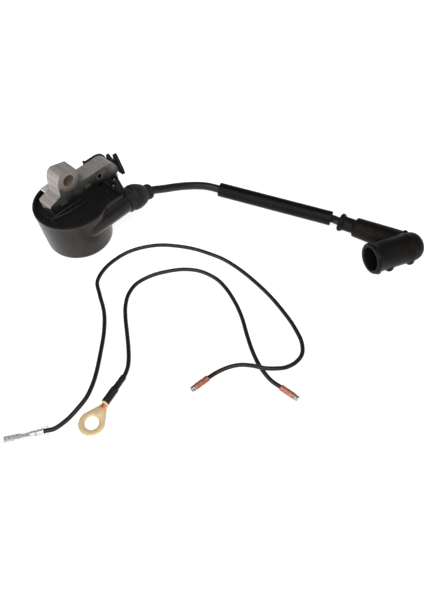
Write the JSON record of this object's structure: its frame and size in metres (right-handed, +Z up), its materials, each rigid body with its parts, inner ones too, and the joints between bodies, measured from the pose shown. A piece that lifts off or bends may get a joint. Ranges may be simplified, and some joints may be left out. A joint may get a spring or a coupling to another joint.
{
  "type": "ignition coil",
  "caption": "Potted ignition coil on a laminated core with plug lead, protective sleeve, elbow plug boot and two loose connection wires.",
  "frame": {"origin": "centre of the flat bottom of the round cup, on the surface that everything rests on", "axes": "+Z up out of the cup, +X along the lead tower towards the lead's outlet, +Y from the front of the core to its back along the mounting hole"},
  "size_m": [0.2358, 0.1876, 0.0504],
  "materials": {
    "housing": "semi-gloss moulded",
    "resin": "gloss cast resin",
    "core_steel": "bare lamination edges",
    "black_plastic": "satin",
    "tinned_metal": "tinned",
    "bobbin_plastic": "moulded",
    "copper": "enamelled or bare copper",
    "board": "circuit board",
    "component": "dipped",
    "brass": "pale brass",
    "grommet_rubber": "matte blue-grey",
    "lead_jacket": "satin",
    "sleeve_plastic": "semi-gloss tube",
    "boot_rubber": "matte",
    "wire_jacket": "satin insulation",
    "copper_sleeve": "dull copper",
    "clear_plastic": "clear soft tube"
  },
  "bodies": {
    "coil": {"housing_cup": "housing", "potting_fill": "resin", "core_laminations": "core_steel", "core_pins": "core_steel", "ground_tab": "core_steel", "rear_cover": "black_plastic", "wire_clip": "black_plastic", "kill_pin": "tinned_metal", "ground_pin": "tinned_metal", "primary_bobbin": "bobbin_plastic", "primary_winding": "copper", "secondary_bobbin": "bobbin_plastic", "secondary_winding": "copper", "control_board": "board", "storage_capacitor": "component", "switching_thyristor": "black_plastic", "board_diodes": "black_plastic", "gate_resistor": "component", "ht_contact_pin": "brass", "ht_link": "copper", "tower_collar": "black_plastic", "lead_grommet": "grommet_rubber", "plug_lead": "lead_jacket", "kill_wire": "wire_jacket", "kill_socket": "tinned_metal", "kill_socket_sleeve": "copper_sleeve", "kill_blade": "tinned_metal", "ground_wire": "wire_jacket", "ground_socket": "tinned_metal", "ground_socket_sleeve": "copper_sleeve", "ring_terminal": "brass", "ring_strands": "copper", "ring_heat_shrink": "black_plastic"},
    "sleeve": {"protective_sleeve": "sleeve_plastic"},
    "boot": {"plug_boot": "boot_rubber", "plug_spring": "tinned_metal"},
    "clear_tube": {"clear_sleeve": "clear_plastic"}
  },
  "joints": [
    {"name": "sleeve_slide", "type": "slide", "parent": "coil", "child": "sleeve", "axis": [0.3665, -0.9304, 0], "range_m": [-0.003, 0.001]},
    {"name": "boot_turn", "type": "hinge", "parent": "coil", "child": "boot", "pos_m": [0.1118, -0.1147, 0.0059], "axis": [0.2075, -0.9763, 0.061], "range_deg": [-60, 0]},
    {"name": "clear_sleeve_slide", "type": "slide", "parent": "coil", "child": "clear_tube", "axis": [0.8192, -0.5736, 0], "range_m": [0, 0.003]}
  ]
}
